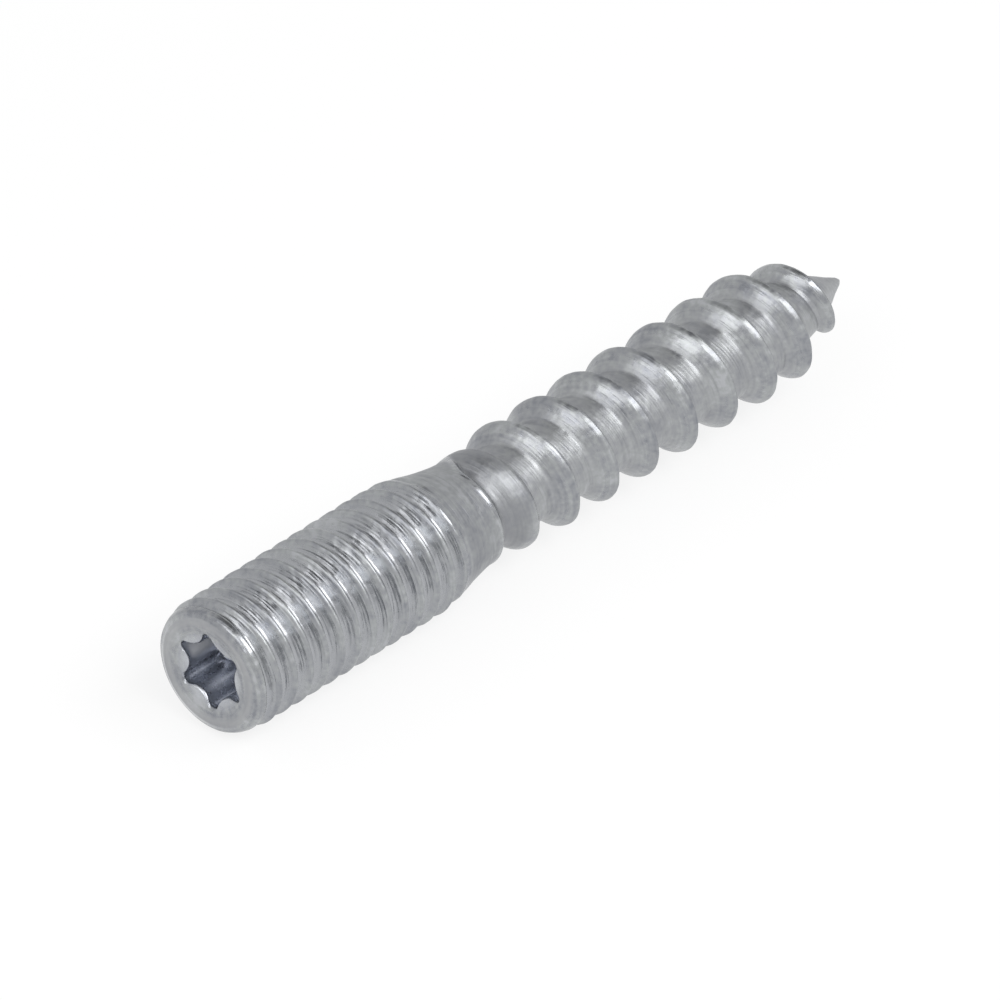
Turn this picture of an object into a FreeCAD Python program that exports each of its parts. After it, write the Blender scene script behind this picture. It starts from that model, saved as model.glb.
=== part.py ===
import FreeCAD, Part
import math
import os

# A hanger bolt: one piece of zinc-plated steel, upset and thread-rolled from a single blank.
# It lies along the X axis. The flat end face with the drive recess is the plane x = 0, and
# the gimlet point is at +X. All lengths are in millimetres and all angles in degrees.

# Lengths along the axis, from the flat end to the point
total_length = 50.0
machine_length = 15.9
shoulder_length = 3.0
shank_length = 1.1
shank_step_length = 0.5

# Machine part. Its cylinder is the outside diameter of the machine thread, and its rim is
# broken twice, steeply at the end face and then as the thread's shallow lead-in.
machine_diameter = 7.9
end_face_diameter = 6.2
rim_length = 0.32
rim_diameter = 7.3
lead_in_length = 0.9

# Shank between the two threads, with a slight taper
shank_diameter_at_shoulder = 6.3
shank_diameter_at_wood = 6.1

# Drive recess: six lobes, size 25, with a conical mouth that is deepest at the flutes
recess_diameter_over_lobes = 4.5
recess_diameter_over_flutes = 3.28
recess_lobe_radius = 0.36
recess_depth = 3.3
recess_floor_angle = 30.0
recess_mouth_diameter = 4.9
recess_mouth_depth = 0.35
recess_turn = -6.0
lobe_count = 6

# Wood part: a round core with one right-hand ridge
core_diameter = 5.1
wood_thread_diameter = 6.97
wood_pitch = 3.12
crest_width = 0.3
head_flank_angle = 40.0
point_flank_angle = 24.0
ridge_start_angle = -106.0

# The first turn of the ridge, where it grows out of the shank, wide and half formed
half_formed_diameter = 6.24
rise_turns = 0.4
forming_turns = 0.95
narrowing_turns = 1.0
wide_head_side = 1.5
wide_point_side = 0.6

# Gimlet point. The ridge draws together a little, falls with the core and fades out
core_taper_length = 6.8
core_knee_from_point = 2.6
core_knee_diameter = 3.1
point_diameter = 0.24
crest_taper_length = 6.4
crest_taper_overrun = 0.75
crest_fullness = 1.5
ridge_fade_from_point = 2.6
ridge_end_from_point = 1.2
squeeze_from_point = 9.0
squeeze_length = 4.5
squeeze = 0.35

# How the ridge is built
ridge_root_depth = 0.35
points_per_turn = 24
spans_per_turn = 3

AXIS = FreeCAD.Vector(1, 0, 0)
ORIGIN = FreeCAD.Vector(0, 0, 0)

shoulder_start = machine_length
shank_start = shoulder_start + shoulder_length
shank_end = shank_start + shank_length
wood_start = shank_end + shank_step_length
core_taper_start = total_length - core_taper_length
core_knee = total_length - core_knee_from_point


def tangent(angle):
    return math.tan(math.radians(angle))


def profile_point(x, diameter):
    return FreeCAD.Vector(x, diameter / 2, 0)


def around_axis(x, radius, turn):
    """A point at a place along the axis, a radius and a number of turns about the axis."""
    angle = 2 * math.pi * turn
    return FreeCAD.Vector(x, radius * math.cos(angle), radius * math.sin(angle))


def ease(share):
    """A smooth rise from 0 to 1."""
    share = min(1.0, max(0.0, share))
    return share * share * (3 - 2 * share)


def blank():
    """The turned form: broken rim, machine cylinder, shoulder, shank, core and point."""
    corners = [
        ORIGIN,
        profile_point(0, end_face_diameter),
        profile_point(rim_length, rim_diameter),
        profile_point(rim_length + lead_in_length, machine_diameter),
        profile_point(shoulder_start, machine_diameter),
        profile_point(shank_start, shank_diameter_at_shoulder),
        profile_point(shank_end, shank_diameter_at_wood),
        profile_point(wood_start, core_diameter),
        profile_point(core_taper_start, core_diameter),
        profile_point(core_knee, core_knee_diameter),
        profile_point(total_length, point_diameter),
        profile_point(total_length, 0),
        ORIGIN,
    ]
    return Part.Face(Part.makePolygon(corners)).revolve(ORIGIN, AXIS, 360)


def lobed_outline(x):
    """A closed six-lobe outline: convex lobe tips joined by hollow flutes, all tangent arcs."""
    over_lobes = recess_diameter_over_lobes / 2
    over_flutes = recess_diameter_over_flutes / 2
    lobe_radius = recess_lobe_radius
    half_step = math.pi / lobe_count
    lobe_centre = over_lobes - lobe_radius
    # The flute's radius follows from the lobe and flute arcs touching each other
    away = over_flutes - lobe_centre * math.cos(half_step)
    across = lobe_centre * math.sin(half_step)
    flute_radius = (lobe_radius ** 2 - away ** 2 - across ** 2) / (2 * (away - lobe_radius))
    flute_centre = over_flutes + flute_radius
    slope = math.atan2(across, flute_centre - lobe_centre * math.cos(half_step))
    touch_x = flute_centre - flute_radius * math.cos(slope)
    touch_y = flute_radius * math.sin(slope)
    touch_radius = math.hypot(touch_x, touch_y)
    touch_angle = math.atan2(touch_y, touch_x)

    def point(radius, angle):
        turn = (recess_turn + math.degrees(angle)) / 360
        return around_axis(x, radius, turn)

    edges = []
    for number in range(lobe_count):
        flute = 2 * half_step * number
        lobe = flute + half_step
        before = point(touch_radius, flute - touch_angle)
        after = point(touch_radius, flute + touch_angle)
        following = point(touch_radius, flute + 2 * half_step - touch_angle)
        edges.append(Part.Arc(before, point(over_flutes, flute), after).toShape())
        edges.append(Part.Arc(after, point(over_lobes, lobe), following).toShape())
    return Part.Wire(edges)


def drive_recess():
    """The socket as a solid: a conical mouth, six-lobe walls and a conical floor."""
    over_flutes = recess_diameter_over_flutes / 2
    mouth = Part.makeCone(recess_mouth_diameter / 2, over_flutes, recess_mouth_depth, ORIGIN, AXIS)
    walls = Part.Face(lobed_outline(0)).extrude(AXIS * recess_depth)
    floor_height = over_flutes * tangent(recess_floor_angle)
    floor = Part.makeCone(over_flutes, 0, floor_height, AXIS * recess_depth, AXIS)
    return walls.fuse(mouth).fuse(floor)


def core_radius(x):
    """The core's radius at a place along the axis, the same as in the blank."""
    if x <= core_taper_start:
        return core_diameter / 2
    if x <= core_knee:
        share = (x - core_taper_start) / (core_knee - core_taper_start)
        return (core_diameter + (core_knee_diameter - core_diameter) * share) / 2
    share = (x - core_knee) / (total_length - core_knee)
    return (core_knee_diameter + (point_diameter - core_knee_diameter) * share) / 2


def crest_place(turn):
    """The ridge keeps its pitch, and only draws together a little towards the point."""
    place = shank_end + wood_pitch * (turn - ridge_start_angle / 360)
    past = place - (total_length - squeeze_from_point)
    return place - squeeze * ease(past / squeeze_length)


def crest_radius(turn):
    """The crest rises out of the core, forms fully, and falls in a full curve to the point."""
    grown = turn - ridge_start_angle / 360
    sunk = core_radius(wood_start) - ridge_root_depth / 2
    radius = sunk + (half_formed_diameter / 2 - sunk) * ease(grown / rise_turns)
    forming = ease((grown - rise_turns) / forming_turns)
    radius += (wood_thread_diameter - half_formed_diameter) / 2 * forming
    place = crest_place(turn)
    past = place - (total_length - crest_taper_length)
    if past > 0:
        fall = (past / (crest_taper_length + crest_taper_overrun)) ** crest_fullness
        radius *= 1 - fall
    past = place - (total_length - ridge_fade_from_point)
    faded = ease(past / (ridge_fade_from_point - ridge_end_from_point))
    below = core_radius(place) - ridge_root_depth / 2
    return radius + (below - radius) * faded


def ridge_section(turn):
    """The four corners of the ridge's section at a turn, each as place and radius."""
    place = crest_place(turn)
    crest = crest_radius(turn)
    root = max(point_diameter / 4, core_radius(place) - ridge_root_depth)
    height = max(crest - root, ridge_root_depth / 2)
    grown = turn - ridge_start_angle / 360
    narrowed = ease((grown - rise_turns) / narrowing_turns)
    head_side = wide_head_side + (crest_width / 2 - wide_head_side) * narrowed
    point_side = wide_point_side + (crest_width / 2 - wide_point_side) * narrowed
    return [
        (place - head_side - height * tangent(head_flank_angle), root),
        (place - head_side, root + height),
        (place + point_side, root + height),
        (place + point_side + height * tangent(point_flank_angle), root),
    ]


def rail(corner, cuts, turns):
    """One smooth edge of the ridge along all its turns, as a list of spans."""
    points = []
    for turn in turns:
        place, radius = ridge_section(turn)[corner]
        points.append(around_axis(place, radius, turn))
    curve = Part.BSplineCurve()
    curve.interpolate(Points=points, Parameters=turns)
    return [curve.toShape(start, end) for start, end in zip(cuts, cuts[1:])]


def steps(start, end, per_turn):
    count = max(1, math.ceil((end - start) * per_turn))
    return [start + (end - start) * number / count for number in range(count + 1)]


def wood_ridge():
    """The ridge as a solid: flanks, crest and root are ruled between its four corner rails."""
    first = ridge_start_angle / 360
    last = first + (total_length - ridge_end_from_point + squeeze - shank_end) / wood_pitch
    cuts = steps(first, last, spans_per_turn)
    turns = steps(first, last, points_per_turn)
    rails = [rail(corner, cuts, turns) for corner in range(4)]
    faces = []
    for lower, upper in zip(rails, rails[1:] + rails[:1]):
        for lower_span, upper_span in zip(lower, upper):
            faces.append(Part.makeRuledSurface(lower_span, upper_span))
    for turn in (first, last):
        corners = [around_axis(place, radius, turn) for place, radius in ridge_section(turn)]
        faces.append(Part.Face(Part.makePolygon(corners + corners[:1])))
    shell = Part.Shell(faces)
    shell.sewShape()
    ridge = Part.makeSolid(shell.Shells[0])
    if ridge.Volume < 0:
        ridge.reverse()
    return ridge


def hanger_bolt():
    bolt = blank().cut(drive_recess()).fuse(wood_ridge())
    return bolt.Solids[0]


os.makedirs("parts", exist_ok=True)
bolt = hanger_bolt()
bolt.exportStep("parts/hanger_bolt.step")
print("hanger_bolt", "valid", bolt.isValid(), "solids", len(bolt.Solids), "volume", round(bolt.Volume, 2))
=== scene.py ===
import math

import bpy
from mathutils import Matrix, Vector, noise


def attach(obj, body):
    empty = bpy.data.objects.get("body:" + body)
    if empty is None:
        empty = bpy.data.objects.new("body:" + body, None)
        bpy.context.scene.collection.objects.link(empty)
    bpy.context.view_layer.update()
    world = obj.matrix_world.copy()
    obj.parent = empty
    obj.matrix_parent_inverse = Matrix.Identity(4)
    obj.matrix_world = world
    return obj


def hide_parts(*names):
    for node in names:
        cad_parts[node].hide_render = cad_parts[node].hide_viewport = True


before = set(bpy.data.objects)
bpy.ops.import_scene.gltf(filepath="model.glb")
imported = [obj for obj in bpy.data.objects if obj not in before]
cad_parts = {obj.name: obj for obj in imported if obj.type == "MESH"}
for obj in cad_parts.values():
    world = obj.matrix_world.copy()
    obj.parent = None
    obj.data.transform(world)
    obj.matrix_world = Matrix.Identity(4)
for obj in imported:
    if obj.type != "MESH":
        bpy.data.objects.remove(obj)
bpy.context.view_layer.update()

# Lengths are in millimetres and angles in degrees, as in the part's source, and most of its sizes
# are repeated here. The mesh is made in millimetres and scaled to metres at the end.
MM = 0.001
COLUMNS = 192

TOTAL_LENGTH = 50.0
MACHINE_LENGTH = 15.9
SHOULDER_LENGTH = 3.0
SHANK_LENGTH = 1.1
MACHINE_RADIUS = 3.95
RIM_LENGTH = 0.28
RIM_RADIUS = 3.65
LEAD_IN_LENGTH = 0.9
SHANK_RADIUS_AT_SHOULDER = 3.15
SHANK_RADIUS_AT_WOOD = 3.05

RECESS_RADIUS_OVER_LOBES = 2.25
RECESS_RADIUS_OVER_FLUTES = 1.64
RECESS_LOBE_RADIUS = 0.36
RECESS_DEPTH = 3.3
RECESS_FLOOR_RADIUS = 1.56
RECESS_FLOOR_ANGLE = 30.0
DISH_RADIUS = 2.95
DISH_ANGLE = 11.0
MOUTH_ROUNDING = 0.24
RECESS_TURN = -6.0
LOBES = 6

MACHINE_PITCH = 1.25
MACHINE_ROOT_RADIUS = 3.233
MACHINE_CREST_AT = 1.0
MACHINE_FLANK_ANGLE = 30.0
GROOVE_START, GROOVE_RISE = 0.25, 0.8
GROOVE_END, GROOVE_FALL = 16.2, 1.2

CORE_RADIUS = 2.55
WOOD_RADIUS = 3.485
WOOD_PITCH = 3.12
CREST_WIDTH = 0.3
HEAD_FLANK_ANGLE = 40.0
POINT_FLANK_ANGLE = 24.0
RIDGE_START_ANGLE = -106.0
HALF_FORMED_RADIUS = 3.12
RISE_TURNS = 0.4
FORMING_TURNS = 0.95
NARROWING_TURNS = 1.0
WIDE_HEAD_SIDE = 0.55
WIDE_POINT_SIDE = 0.4
WIDE_HEAD_FLANK_ANGLE = 55.0
CORE_TAPER_LENGTH = 6.8
CORE_KNEE_FROM_POINT = 2.6
CORE_KNEE_RADIUS = 1.55
POINT_RADIUS = 0.12
CREST_TAPER_LENGTH = 6.4
CREST_TAPER_OVERRUN = 0.75
CREST_FULLNESS = 1.5
RIDGE_FADE_FROM_POINT = 2.6
RIDGE_END_FROM_POINT = 1.2
SQUEEZE_FROM_POINT = 9.0
SQUEEZE_LENGTH = 4.5
SQUEEZE = 0.35
SUNK_DEPTH = 0.175

# The end of the shank, which follows the wood thread's first groove
STEP_TURN = 0.28
STEP_BACK = 0.22
STEP_ADVANCE = 1.45
STEP_RETURN_START, STEP_RETURN_TURNS = 0.84, 0.16
STEP_LENGTH = 0.55
SHANK_BEAD = 0.055
SHANK_BEAD_WIDTH = 0.16

# How widely the corners between neighbouring forms are rounded
MACHINE_ROOT_ROUNDING = 0.42
MACHINE_CREST_ROUNDING = 0.12
SHOULDER_ROUNDING = 0.2
SHANK_ROUNDING = 0.25
LEAD_IN_ROUNDING = 0.04
FIRST_CREST_ROUNDING = 0.03
HEAD_CREST_ROUNDING = 0.36
POINT_CREST_ROUNDING = 0.14
WOOD_ROOT_ROUNDING = 0.16
TIP_ROUNDING_START, TIP_ROUNDING_LENGTH = 49.7, 0.31

# The rolled surface's unevenness: how deep it goes and how often it changes in a millimetre
BROAD_DENTS, BROAD_DENTS_PER_MM = 0.05, 0.9
SMALL_DENTS, SMALL_DENTS_PER_MM = 0.03, 1.9

SHOULDER_START = MACHINE_LENGTH
SHANK_START = SHOULDER_START + SHOULDER_LENGTH
SHANK_END = SHANK_START + SHANK_LENGTH
CORE_TAPER_START = TOTAL_LENGTH - CORE_TAPER_LENGTH
CORE_KNEE = TOTAL_LENGTH - CORE_KNEE_FROM_POINT
FIRST_TURN = RIDGE_START_ANGLE / 360
LAST_TURN = FIRST_TURN + (TOTAL_LENGTH - RIDGE_END_FROM_POINT + SQUEEZE - SHANK_END) / WOOD_PITCH


def tangent(angle):
    return math.tan(math.radians(angle))


def ease(share):
    """A smooth rise from 0 to 1."""
    share = min(1.0, max(0.0, share))
    return share * share * (3 - 2 * share)


def within(x, start, rise, end, fall):
    """A share that rises to 1 after the start and falls to 0 after the end."""
    return ease((x - start) / rise) * (1 - ease((x - end) / fall))


def bell(share):
    """A share that is 1 at 0 and falls off on both sides."""
    return math.exp(-share ** 2)


def blend(low, high, share):
    return low + (high - low) * share


def soft_min(a, b, reach):
    """The lower of two values, with the corner between them rounded."""
    near = max(0.0, reach - abs(a - b)) / reach
    return min(a, b) - near * near * reach / 4


def soft_max(a, b, reach):
    return -soft_min(-a, -b, reach)


def recess_outline(angle):
    """The radius of the six-lobe outline at an angle: lobe tips and flutes are tangent arcs."""
    step = 2 * math.pi / LOBES
    half_step = step / 2
    from_flute = abs((angle - math.radians(RECESS_TURN) + half_step) % step - half_step)
    lobe_centre = RECESS_RADIUS_OVER_LOBES - RECESS_LOBE_RADIUS
    away = RECESS_RADIUS_OVER_FLUTES - lobe_centre * math.cos(half_step)
    across = lobe_centre * math.sin(half_step)
    flute_radius = (RECESS_LOBE_RADIUS ** 2 - away ** 2 - across ** 2) / (2 * (away - RECESS_LOBE_RADIUS))
    flute_centre = RECESS_RADIUS_OVER_FLUTES + flute_radius
    slope = math.atan2(across, flute_centre - lobe_centre * math.cos(half_step))
    touch_x = flute_centre - flute_radius * math.cos(slope)
    touch_y = flute_radius * math.sin(slope)
    if from_flute < math.atan2(touch_y, touch_x):
        sideways = flute_centre * math.sin(from_flute)
        return flute_centre * math.cos(from_flute) - math.sqrt(flute_radius ** 2 - sideways ** 2)
    from_lobe = half_step - from_flute
    sideways = lobe_centre * math.sin(from_lobe)
    return lobe_centre * math.cos(from_lobe) + math.sqrt(RECESS_LOBE_RADIUS ** 2 - sideways ** 2)


def machine_crest(turn):
    """The place of the machine thread's crest at a turn."""
    return MACHINE_CREST_AT + MACHINE_PITCH * turn


def machine_section(x, turn):
    """The machine thread's radius at a place, with rounded crests and roots."""
    along = (x - MACHINE_CREST_AT) / MACHINE_PITCH - turn
    off = abs(along - round(along)) * MACHINE_PITCH
    flank = MACHINE_RADIUS - (off - MACHINE_PITCH / 16) / tangent(MACHINE_FLANK_ANGLE)
    section = soft_max(MACHINE_ROOT_RADIUS, flank, MACHINE_ROOT_ROUNDING)
    section = soft_min(MACHINE_RADIUS, section, MACHINE_CREST_ROUNDING)
    formed = within(x, GROOVE_START, GROOVE_RISE, GROOVE_END, GROOVE_FALL)
    return blend(MACHINE_RADIUS, section, formed)


def shoulder_radius(x):
    """The conical shoulder and the slightly tapered shank."""
    share = (x - SHOULDER_START) / SHOULDER_LENGTH
    cone = blend(MACHINE_RADIUS, SHANK_RADIUS_AT_SHOULDER, share)
    shank = SHANK_RADIUS_AT_SHOULDER
    shank += (SHANK_RADIUS_AT_WOOD - SHANK_RADIUS_AT_SHOULDER) * (x - SHANK_START) / SHANK_LENGTH
    return soft_max(soft_min(MACHINE_RADIUS, cone, SHOULDER_ROUNDING), shank, SHANK_ROUNDING)


def lead_in_radius(x):
    """The slight taper behind the rim."""
    share = min(1.0, (x - RIM_LENGTH) / LEAD_IN_LENGTH)
    return blend(RIM_RADIUS, MACHINE_RADIUS, share)


def machine_radius(x, turn):
    """The machine part, from the lead-in to the shoulder."""
    outside = soft_min(lead_in_radius(x), shoulder_radius(x), LEAD_IN_ROUNDING)
    return soft_min(outside, machine_section(x, turn), FIRST_CREST_ROUNDING)


def core_radius(x):
    """The wood thread's core and the two tapers of the point."""
    if x <= CORE_TAPER_START:
        return CORE_RADIUS
    if x <= CORE_KNEE:
        share = (x - CORE_TAPER_START) / (CORE_KNEE - CORE_TAPER_START)
        return blend(CORE_RADIUS, CORE_KNEE_RADIUS, share)
    share = (x - CORE_KNEE) / (TOTAL_LENGTH - CORE_KNEE)
    return blend(CORE_KNEE_RADIUS, POINT_RADIUS, share)


def shank_end(turn):
    """The shank's end follows the first groove of the wood thread, and falls back where that
    groove begins."""
    round_it = (turn - STEP_TURN) % 1.0
    returned = ease((round_it - STEP_RETURN_START) / STEP_RETURN_TURNS)
    return SHANK_END - STEP_BACK + STEP_ADVANCE * round_it * (1 - returned)


def body_radius(x, turn):
    """The shank with the small bead at its end, the step down and the core."""
    end = shank_end(turn)
    bead = SHANK_BEAD * bell((x - end + 0.05) / SHANK_BEAD_WIDTH)
    return blend(shoulder_radius(x) + bead, core_radius(x), ease((x - end) / STEP_LENGTH))


def crest_place(turn):
    """The ridge keeps its pitch, and only draws together a little towards the point."""
    place = SHANK_END + WOOD_PITCH * (turn - FIRST_TURN)
    return place - SQUEEZE * ease((place - TOTAL_LENGTH + SQUEEZE_FROM_POINT) / SQUEEZE_LENGTH)


def crest_radius(turn):
    """The crest rises out of the core, forms fully, and falls in a full curve to the point."""
    grown = turn - FIRST_TURN
    sunk = CORE_RADIUS - SUNK_DEPTH
    radius = blend(sunk, HALF_FORMED_RADIUS, ease(grown / RISE_TURNS))
    forming = ease((grown - RISE_TURNS) / FORMING_TURNS)
    radius += (WOOD_RADIUS - HALF_FORMED_RADIUS) * forming
    place = crest_place(turn)
    past = place - (TOTAL_LENGTH - CREST_TAPER_LENGTH)
    if past > 0:
        radius *= 1 - (past / (CREST_TAPER_LENGTH + CREST_TAPER_OVERRUN)) ** CREST_FULLNESS
    fade_length = RIDGE_FADE_FROM_POINT - RIDGE_END_FROM_POINT
    faded = ease((place - TOTAL_LENGTH + RIDGE_FADE_FROM_POINT) / fade_length)
    return blend(radius, core_radius(place) - SUNK_DEPTH, faded)


def crest_sides(turn):
    """How far the crest reaches to the head side and to the point side of its place, and the
    head flank's slope."""
    narrowed = ease((turn - FIRST_TURN - RISE_TURNS) / NARROWING_TURNS)
    head = blend(WIDE_HEAD_SIDE, CREST_WIDTH / 2, narrowed)
    point = blend(WIDE_POINT_SIDE, CREST_WIDTH / 2, narrowed)
    slope = tangent(blend(WIDE_HEAD_FLANK_ANGLE, HEAD_FLANK_ANGLE, narrowed))
    return head, point, slope


def ridge_radius(x, turn):
    """One turn of the wood thread's ridge, over the core or under it."""
    if turn < FIRST_TURN or turn > LAST_TURN:
        return 0.0
    place = crest_place(turn)
    crest = crest_radius(turn)
    head, point, slope = crest_sides(turn)
    head_flank = crest + (x - place + head) / slope
    point_flank = crest - (x - place - point) / tangent(POINT_FLANK_ANGLE)
    rounding = min(HEAD_CREST_ROUNDING, 0.5 * crest / WOOD_RADIUS)
    return soft_min(soft_min(crest, point_flank, POINT_CREST_ROUNDING), head_flank, rounding)


def wood_radius(x, turn):
    """The shank, the core and every turn of the ridge that passes near. turn is the column's
    own share of a turn, from 0 to 1."""
    radius = body_radius(x, turn)
    nearest = math.floor((x - SHANK_END) / WOOD_PITCH + FIRST_TURN - turn)
    for number in range(nearest - 1, nearest + 3):
        radius = soft_max(radius, ridge_radius(x, turn + number), WOOD_ROOT_ROUNDING)
    return radius


def face_depth(radius):
    """The end face is slightly dished towards the recess."""
    return max(0.0, DISH_RADIUS - radius) * tangent(DISH_ANGLE)


def mouth_row(outline, share):
    """A point on the rounded edge of the recess's mouth, from the wall at 0 to the face at 1."""
    angle = share * math.pi / 2
    radius = outline + MOUTH_ROUNDING * (1 - math.cos(angle))
    edge = face_depth(outline + MOUTH_ROUNDING)
    return edge + MOUTH_ROUNDING * (1 - math.sin(angle)), radius


def recess_rows(turn):
    """Rows from the recess's conical floor up its walls to its mouth."""
    outline = recess_outline(2 * math.pi * turn)
    rows = []
    for share in (0.02, 0.25, 0.5, 0.75, 1.0):
        deeper = RECESS_FLOOR_RADIUS * (1 - share) * tangent(RECESS_FLOOR_ANGLE)
        rows.append((RECESS_DEPTH + deeper, RECESS_FLOOR_RADIUS * share))
    rows.append((RECESS_DEPTH, outline - 0.06))
    rows.append((RECESS_DEPTH - 0.02, outline - 0.02))
    wall_top = mouth_row(outline, 0)[0]
    for step in range(8):
        rows.append((blend(RECESS_DEPTH - 0.07, wall_top, step / 8), outline))
    rows += [mouth_row(outline, step / 6) for step in range(7)]
    return rows


def face_rows(turn):
    """Rows from the recess's mouth across the dished face and over the rounded rim."""
    inner = recess_outline(2 * math.pi * turn) + MOUTH_ROUNDING
    radii = [blend(inner, DISH_RADIUS - 0.04, step / 6) for step in range(1, 7)]
    rows = [(face_depth(radius), radius) for radius in radii]
    rows += [(0.0, 2.99), (0.006, 3.08), (0.025, 3.18), (0.06, 3.29)]
    rows += [(0.11, 3.4), (0.165, 3.5), (0.22, 3.59)]
    return rows


# How far the rows along a machine groove lie from its crest, up to the middle of its root
MACHINE_OFFSETS = (0.0, 0.04, 0.08, 0.13, 0.24, 0.36, 0.46, 0.54, MACHINE_PITCH / 2)


def machine_rows(turn):
    """Rows that follow the machine thread, each with a mark that names its line."""
    rows = []
    for number in range(-2, 17):
        for line, off in enumerate(MACHINE_OFFSETS):
            for side in ((1,) if off in (0.0, MACHINE_PITCH / 2) else (-1, 1)):
                x = machine_crest(number + turn) + side * off
                if 0.40 < x < SHANK_START - 0.1:
                    rows.append((x, machine_radius(x, turn), (number, side * line)))
    rows.sort(key=lambda row: row[0])
    return rows


def shank_rows(turn):
    """Rows round the shank, up to where the rows that follow the wood thread begin."""
    end = shank_end(turn)
    rows = []
    for step in range(8):
        x = blend(SHANK_START - 0.05, end - 0.2, step / 8)
        rows.append((x, wood_radius(x, turn), ("shank", step)))
    for step in range(11):
        x = end - 0.2 + 0.09 * step
        rows.append((x, wood_radius(x, turn), ("step", step)))
    return rows


def ridge_corners(turn):
    """The places of the ridge's four corners: its foot on the core, the crest's head side and
    point side, and its toe on the core."""
    place = crest_place(turn)
    head, point, slope = crest_sides(turn)
    height = max(0.12, crest_radius(turn) - core_radius(place))
    foot = place - head - height * slope
    toe = place + point + height * tangent(POINT_FLANK_ANGLE)
    return foot, place - head, place + point, toe


def wood_rows(turn):
    """Rows that follow the wood thread: close together at the ridge's corners, and wider on its
    flanks and along the core."""
    rows = []
    for number in range(-2, 12):
        foot, head, point, toe = ridge_corners(turn + number)
        next_foot = ridge_corners(turn + number + 1)[0]
        places = [foot - 0.12, foot - 0.05, foot, foot + 0.05, foot + 0.12]
        places += [blend(foot + 0.12, head - 0.1, share) for share in (0.33, 0.67, 1.0)]
        places += [head - 0.04, head + 0.03]
        places += [blend(head + 0.03, point - 0.03, share) for share in (0.33, 0.67)]
        places += [point - 0.03, point + 0.03]
        places += [blend(point + 0.07, toe - 0.06, share) for share in (0.0, 0.5, 1.0)]
        places += [toe, toe + 0.06]
        places += [blend(toe + 0.06, next_foot - 0.12, share) for share in (0.2, 0.4, 0.6, 0.8)]
        last = shank_end(turn) + 0.75
        for line, x in enumerate(places):
            if last < x < TOTAL_LENGTH - 0.3:
                rows.append((x, wood_radius(x, turn), (number, "wood", line)))
                last = x
    rows.sort(key=lambda row: row[0])
    return rows


def point_rows(turn):
    """Rows that round the very tip."""
    rows = []
    for x in (49.72, 49.8, 49.88, 49.94, 49.98):
        share = (x - TIP_ROUNDING_START) / TIP_ROUNDING_LENGTH
        rows.append((x, wood_radius(x, turn) * math.sqrt(max(0.05, 1 - share ** 2)), ("point", x)))
    return rows


def unevenness(x, radius, turn):
    """How much a rolled surface falls short of its form, in broad dents and small ones. The face
    and the tip have none, and the shoulder and the shank have less."""
    angle = 2 * math.pi * turn
    where = Vector((x, radius * math.cos(angle), radius * math.sin(angle)))
    broad = 0.5 + 0.5 * noise.noise(where * BROAD_DENTS_PER_MM)
    small = 0.5 + 0.5 * noise.noise(where * SMALL_DENTS_PER_MM + Vector((9, 4, 2)))
    rolled = within(x, 0.3, 0.8, 49.0, 0.8)
    plain = within(x, 16.8, 0.6, 20.2, 0.6)
    return rolled * (BROAD_DENTS * broad + SMALL_DENTS * small) * (1 - 0.7 * plain)


def column(turn):
    """One line of points from the recess's floor to the tip, as place, radius and mark."""
    rows = [(x, radius, ("recess", step)) for step, (x, radius) in enumerate(recess_rows(turn))]
    rows += [(x, radius, ("face", step)) for step, (x, radius) in enumerate(face_rows(turn))]
    outside = machine_rows(turn) + shank_rows(turn) + wood_rows(turn) + point_rows(turn)
    rows += [(x, radius - unevenness(x, radius, turn), mark) for x, radius, mark in outside]
    return rows


def stitched(first, second, first_at, second_at):
    """Faces between two neighbouring columns: a square where both have the next line, and a
    triangle where one of them has an extra point."""
    faces = []
    i, j = 0, 0
    while i < len(first) - 1 or j < len(second) - 1:
        if i < len(first) - 1 and j < len(second) - 1 and first[i + 1][2] == second[j + 1][2]:
            faces.append((first_at + i, second_at + j, second_at + j + 1, first_at + i + 1))
            i, j = i + 1, j + 1
            continue
        further_first = first[i + 1][0] if i < len(first) - 1 else math.inf
        further_second = second[j + 1][0] if j < len(second) - 1 else math.inf
        if further_first < further_second:
            faces.append((first_at + i, second_at + j, first_at + i + 1))
            i += 1
        else:
            faces.append((first_at + i, second_at + j, second_at + j + 1))
            j += 1
    return faces


def bolt_mesh():
    """The points and faces of the whole bolt, one closed shell."""
    columns = [column(number / COLUMNS) for number in range(COLUMNS)]
    verts = []
    starts = []
    for number, rows in enumerate(columns):
        starts.append(len(verts))
        angle = 2 * math.pi * number / COLUMNS
        for x, radius, _ in rows:
            verts.append(Vector((x, radius * math.cos(angle), radius * math.sin(angle))))
    faces = []
    for number in range(COLUMNS - 1):
        faces += stitched(columns[number], columns[number + 1], starts[number], starts[number + 1])
    # After a whole turn the threads' marks have moved on by one pitch
    faces += stitched(columns[-1], column(1.0), starts[-1], starts[0])
    floor_centre = len(verts)
    verts.append(Vector((RECESS_DEPTH + RECESS_FLOOR_RADIUS * tangent(RECESS_FLOOR_ANGLE), 0, 0)))
    tip = len(verts)
    verts.append(Vector((TOTAL_LENGTH, 0, 0)))
    ends = starts[1:] + [floor_centre]
    for number in range(COLUMNS):
        following = (number + 1) % COLUMNS
        faces.append((floor_centre, starts[following], starts[number]))
        faces.append((tip, ends[number] - 1, ends[following] - 1))
    return verts, faces


def attribute(material, name, output="Fac"):
    """One of the values that the mesh carries at each point."""
    node = material.node_tree.nodes.new("ShaderNodeAttribute")
    node.attribute_name = name
    return node.outputs[output]


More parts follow.
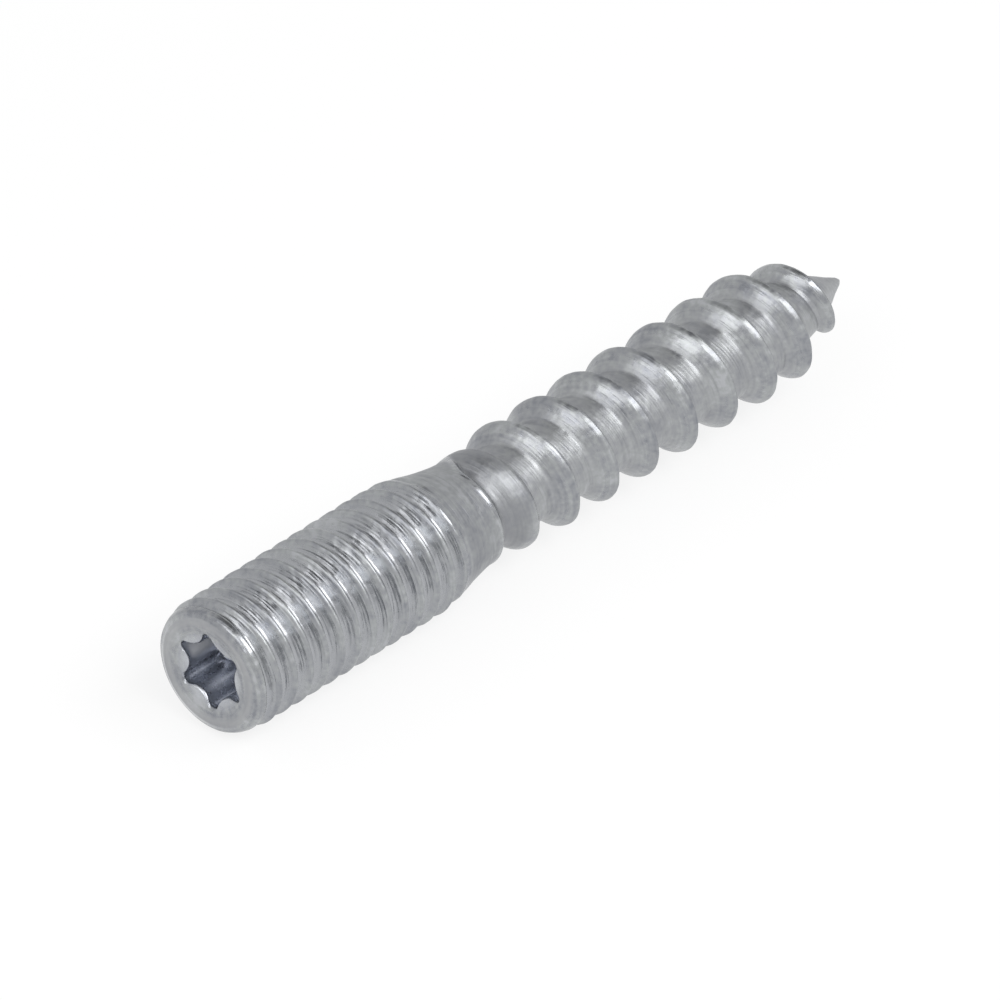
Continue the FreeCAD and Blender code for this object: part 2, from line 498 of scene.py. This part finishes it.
def noise_over(material, where, scale, detail):
    """A noise over a vector socket."""
    nodes, links = material.node_tree.nodes, material.node_tree.links
    pattern = nodes.new("ShaderNodeTexNoise")
    pattern.inputs["Scale"].default_value = scale
    pattern.inputs["Detail"].default_value = detail
    links.new(where, pattern.inputs["Vector"])
    return pattern.outputs["Fac"]


def noise_pattern(material, scale, detail):
    """A noise in the piece's own coordinates, which are in metres."""
    where = material.node_tree.nodes.new("ShaderNodeTexCoord")
    return noise_over(material, where.outputs["Object"], scale, detail)


def ramped(material, value, stops):
    """A colour ramp over a value; stops are (position, colour)."""
    nodes, links = material.node_tree.nodes, material.node_tree.links
    ramp = nodes.new("ShaderNodeValToRGB")
    links.new(value, ramp.inputs[0])
    elements = ramp.color_ramp.elements
    elements[0].position, elements[0].color = stops[0][0], (*stops[0][1], 1)
    elements[1].position, elements[1].color = stops[-1][0], (*stops[-1][1], 1)
    for position, colour in stops[1:-1]:
        elements.new(position).color = (*colour, 1)
    return ramp.outputs["Color"]


def mixed(material, share, colour, other):
    """A colour socket mixed by a share with another, constant colour."""
    nodes, links = material.node_tree.nodes, material.node_tree.links
    mix = nodes.new("ShaderNodeMix")
    mix.data_type = "RGBA"
    links.new(share, mix.inputs["Factor"])
    first, second = [socket for socket in mix.inputs if socket.type == "RGBA"]
    links.new(colour, first)
    second.default_value = (*other, 1)
    return [socket for socket in mix.outputs if socket.type == "RGBA"][0]


def combined(material, operation, first, second):
    """A maths node over two values, each a socket or a plain number."""
    nodes, links = material.node_tree.nodes, material.node_tree.links
    node = nodes.new("ShaderNodeMath")
    node.operation = operation
    for socket, source in zip(node.inputs, (first, second)):
        if isinstance(source, float):
            socket.default_value = source
        else:
            links.new(source, socket)
    return node.outputs[0]


def weighted(material, *terms):
    """The sum of values times their weights."""
    total = None
    for value, weight in terms:
        product = combined(material, "MULTIPLY", value, weight)
        total = product if total is None else combined(material, "ADD", total, product)
    return total


def strand_pattern(material, scale, detail, drift):
    """Fine lines along the direction of rolling, which wander and end by the drift."""
    nodes, links = material.node_tree.nodes, material.node_tree.links
    where = nodes.new("ShaderNodeTexCoord")
    slow = nodes.new("ShaderNodeVectorMath")
    slow.operation = "SCALE"
    slow.inputs["Scale"].default_value = drift / MM
    links.new(where.outputs["Object"], slow.inputs[0])
    joined = nodes.new("ShaderNodeVectorMath")
    joined.operation = "ADD"
    links.new(attribute(material, "strand", "Vector"), joined.inputs[0])
    links.new(slow.outputs["Vector"], joined.inputs[1])
    return noise_over(material, joined.outputs["Vector"], scale, detail)


def zinc_material():
    """Zinc plating: mottled grey metal with faint tints, lines along the rolling, and a duller
    skin where the blank was only drawn. Painted light is mixed into the colour as well: lighter
    grooves, wood valleys and recess against their shade, a painted lit patch on one recess wall
    and a painted highlight arc on the rim."""
    material = bpy.data.materials.new("zinc_plate")
    material.use_nodes = True
    nodes, links = material.node_tree.nodes, material.node_tree.links
    shader = nodes["Principled BSDF"]
    shader.inputs["Metallic"].default_value = 1.0
    broad = noise_pattern(material, 450, 4)
    patches = noise_pattern(material, 1300, 1)
    small = noise_pattern(material, 3000, 1.5)
    lines = strand_pattern(material, 5.0, 2, 0.06)
    recess = attribute(material, "recess")

    tone = weighted(material, (broad, 0.45), (small, 0.30), (lines, 0.25))
    colour = ramped(material, tone, [
        (0.38, (0.25, 0.26, 0.285)),
        (0.45, (0.31, 0.32, 0.34)),
        (0.50, (0.345, 0.355, 0.37)),
        (0.55, (0.38, 0.395, 0.40)),
        (0.62, (0.45, 0.46, 0.48)),
    ])
    # Lighter colour in the machine thread's grooves: painted light that offsets the shade in them
    colour = mixed(material, attribute(material, "groove"), colour, (0.405, 0.415, 0.435))
    # Lighter, bluish colour in the recess: painted light on walls that would otherwise stay dark
    colour = mixed(material, recess, colour, (0.58, 0.60, 0.65))
    # Paler face, and paler wood valleys as painted light against the shade between the ridges
    colour = mixed(material, attribute(material, "pale"), colour, (0.45, 0.455, 0.465))
    colour = mixed(material, attribute(material, "dull"), colour, (0.26, 0.265, 0.28))
    # Painted light: a lit patch on one recess wall and a painted highlight arc on one side of the rim
    colour = mixed(material, attribute(material, "painted_light"), colour, (0.82, 0.83, 0.85))
    links.new(colour, shader.inputs["Base Color"])

    rough = combined(material, "ADD", combined(material, "MULTIPLY", small, 0.20), 0.18)
    matte = combined(material, "MULTIPLY", attribute(material, "matte"), 0.24)
    links.new(combined(material, "ADD", rough, matte), shader.inputs["Roughness"])

    bump = nodes.new("ShaderNodeBump")
    bump.inputs["Distance"].default_value = 0.03 * MM
    links.new(weighted(material, (small, 0.5), (lines, 2.0), (patches, 3.0)), bump.inputs["Height"])
    # The recess's walls are smoother than the rolled outside
    smoothed = combined(material, "MULTIPLY", recess, 0.45)
    links.new(combined(material, "SUBTRACT", 0.6, smoothed), bump.inputs["Strength"])
    links.new(bump.outputs["Normal"], shader.inputs["Normal"])
    return material


def surface_shares(point):
    """How far each finish and each painted light reaches at a point of the mesh, by its name."""
    x, radius = point.x, math.hypot(point.y, point.z)
    turn = math.atan2(point.z, point.y) / (2 * math.pi)
    end = shank_end(turn)
    inside = radius < RECESS_RADIUS_OVER_LOBES + 0.02 and x < RECESS_DEPTH + 1
    # A painted patch of light on the recess's wall, a painted highlight arc on the rim, and the plain
    # face
    painted_wall_light = bell((turn - 0.03) / 0.04) * within(x, 0.5, 0.4, 2.2, 0.9) if inside else 0.0
    rim = 0.9 * bell((radius - 3.33) / 0.08) * bell((turn + 0.127) / 0.14) if x < 0.3 else 0.0
    face = 1 - ease((x - 0.005) / 0.06)
    # The machine thread's grooves and crests; the grooves are painted lighter, as painted light against
    # the shade in them
    depth = (MACHINE_RADIUS - radius) / (MACHINE_RADIUS - MACHINE_ROOT_RADIUS)
    threaded = within(x, 0.6, 0.8, 15.6, 1.2)
    crest = 0.6 * (1 - ease(depth / 0.3)) * threaded
    # The drawn shank, and the wood thread's first turn, core and crest
    shank = within(x, 16.6, 0.8, end - 0.45, 0.25)
    half_formed = within(x, end, 0.3, 22.0, 0.5)
    # The valley share paints the wood core lighter, as painted light against its shade, and makes it
    # rougher
    valley = (1 - ease((radius - core_radius(x)) / 0.5)) * ease((x - end - 0.3) / 0.4)
    wood_crest = 0.5 * ease((radius - 3.15) / 0.25) * ease((x - 22.0) / 0.8)
    return {
        # Painted light: lightens the machine thread's grooves against their shade
        "groove": 0.0 if inside else ease(depth) * threaded,
        # Recess share: sets the recess's painted light colour and its smoother bump
        "recess": ease(x / 0.5) if inside else 0.0,
        # Face tone, and painted light in the wood valleys
        "pale": max(0.55 * face, 0.25 * valley),
        "dull": max(0.3 * shank, 0.5 * half_formed),
        # Painted light on one recess wall and painted highlight on the rim
        "painted_light": max(painted_wall_light, rim),
        "matte": max(face, shank, 0.8 * valley, 0.9 * half_formed, crest, wood_crest, 2.8 * painted_wall_light),
    }


def strand(point):
    """A place across the thread's direction, in millimetres. It is the same all along one line
    of rolling, and comes round once a pitch."""
    pitch = MACHINE_PITCH if point.x < SHANK_START else WOOD_PITCH
    across = 2 * math.pi * point.x / pitch - math.atan2(point.z, point.y)
    reach = pitch / (2 * math.pi)
    return reach * math.cos(across), reach * math.sin(across), math.hypot(point.y, point.z)


def make_bolt():
    """The bolt's mesh, with its finishes, its painted light and its strand as values at each point."""
    verts, faces = bolt_mesh()
    mesh = bpy.data.meshes.new("bolt")
    mesh.from_pydata([point * MM for point in verts], [], faces)
    mesh.validate()
    mesh.polygons.foreach_set("use_smooth", [True] * len(mesh.polygons))
    surfaces = [surface_shares(point) for point in verts]
    for name in surfaces[0]:
        layer = mesh.attributes.new(name, "FLOAT", "POINT")
        layer.data.foreach_set("value", [shares[name] for shares in surfaces])
    layer = mesh.attributes.new("strand", "FLOAT_VECTOR", "POINT")
    layer.data.foreach_set("vector", [number for point in verts for number in strand(point)])
    piece = bpy.data.objects.new("bolt", mesh)
    bpy.context.scene.collection.objects.link(piece)
    mesh.materials.append(zinc_material())
    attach(piece, "root")
    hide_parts("hanger_bolt")


def make_camera():
    """A camera at the photograph's angle, with no foreshortening towards the point."""
    data = bpy.data.cameras.new("camera")
    data.type = "ORTHO"
    data.ortho_scale = 53.39 * MM
    camera = bpy.data.objects.new("camera", data)
    bpy.context.scene.collection.objects.link(camera)
    azimuth, elevation, lean = math.radians(-47.57), math.radians(34.69), math.radians(31.9)
    back = Vector((
        math.sin(azimuth) * math.cos(elevation),
        -math.cos(azimuth) * math.cos(elevation),
        math.sin(elevation),
    ))
    facing = (-back).to_track_quat("-Z", "Y")
    # The bolt leans in the picture, and lies a little off the middle across its own length
    across = facing @ Vector((math.sin(lean), -math.cos(lean), 0))
    looks_at = Vector((22.85, 0, 0)) + across * 0.403
    camera.rotation_mode = "QUATERNION"
    camera.rotation_quaternion = facing
    camera.location = (looks_at + back * 300) * MM
    data.clip_start, data.clip_end = 0.01, 10.0
    bpy.context.scene.camera = camera


def floor_material():
    """Matte white, which mostly glows where the camera or a reflection sees it, so that only a
    soft shadow shows."""
    material = bpy.data.materials.new("floor")
    material.use_nodes = True
    nodes, links = material.node_tree.nodes, material.node_tree.links
    shader = nodes["Principled BSDF"]
    shader.inputs["Base Color"].default_value = (0.9, 0.9, 0.9, 1)
    shader.inputs["Roughness"].default_value = 0.9
    light = nodes.new("ShaderNodeEmission")
    light.inputs["Color"].default_value = (1, 1, 1, 1)
    path = nodes.new("ShaderNodeLightPath").outputs
    seen = combined(material, "MAXIMUM", path["Is Camera Ray"], path["Is Glossy Ray"])
    seen = combined(material, "MAXIMUM", seen, path["Is Transmission Ray"])
    mix = nodes.new("ShaderNodeMixShader")
    links.new(combined(material, "MULTIPLY", seen, 0.8), mix.inputs[0])
    links.new(shader.outputs[0], mix.inputs[1])
    links.new(light.outputs[0], mix.inputs[2])
    links.new(mix.outputs[0], nodes["Material Output"].inputs["Surface"])
    return material


def make_floor():
    """A wide plain floor that the machine thread's crests touch."""
    half, low = 2.0, -MACHINE_RADIUS * MM
    corners = [(-half, -half, low), (half, -half, low), (half, half, low), (-half, half, low)]
    mesh = bpy.data.meshes.new("floor")
    mesh.from_pydata(corners, [], [(0, 1, 2, 3)])
    floor = bpy.data.objects.new("floor", mesh)
    bpy.context.scene.collection.objects.link(floor)
    mesh.materials.append(floor_material())


def make_world():
    """A pale room with a dark patch overhead, and white below the horizon."""
    world = bpy.data.worlds.new("world")
    bpy.context.scene.world = world
    world.use_nodes = True
    nodes, links = world.node_tree.nodes, world.node_tree.links
    where = nodes.new("ShaderNodeTexCoord")
    toward_dark = nodes.new("ShaderNodeVectorMath")
    toward_dark.operation = "DOT_PRODUCT"
    links.new(where.outputs["Generated"], toward_dark.inputs[0])
    toward_dark.inputs[1].default_value = Vector((0.13, 0.08, 0.98)).normalized()
    tones = [(0.84, (0.84, 0.84, 0.84)), (0.97, (0.08, 0.08, 0.08))]
    sky = ramped(world, toward_dark.outputs["Value"], tones)
    height = nodes.new("ShaderNodeSeparateXYZ")
    links.new(where.outputs["Generated"], height.inputs[0])
    below = combined(world, "LESS_THAN", height.outputs["Z"], -0.005)
    links.new(mixed(world, below, sky, (1.0, 1.0, 1.0)), nodes["Background"].inputs["Color"])


def make_lamp(name, place, size, power):
    """A soft rectangular lamp that faces the bolt's middle, in metres and watts."""
    data = bpy.data.lights.new(name, "AREA")
    data.shape = "RECTANGLE"
    data.size, data.size_y = size
    data.energy = power
    lamp = bpy.data.objects.new(name, data)
    bpy.context.scene.collection.objects.link(lamp)
    lamp.location = place
    middle = Vector((TOTAL_LENGTH / 2 * MM, 0, 0))
    lamp.rotation_mode = "QUATERNION"
    lamp.rotation_quaternion = (middle - Vector(place)).to_track_quat("-Z", "Y")


make_camera()
make_bolt()
make_floor()
make_world()
make_lamp("end", (-0.305, -0.045, 0.258), (0.27, 0.22), 0.31)
make_lamp("strip", (0.038, -0.270, 0.322), (0.43, 0.21), 1.06)

scene = bpy.context.scene
scene.view_settings.view_transform = "Standard"
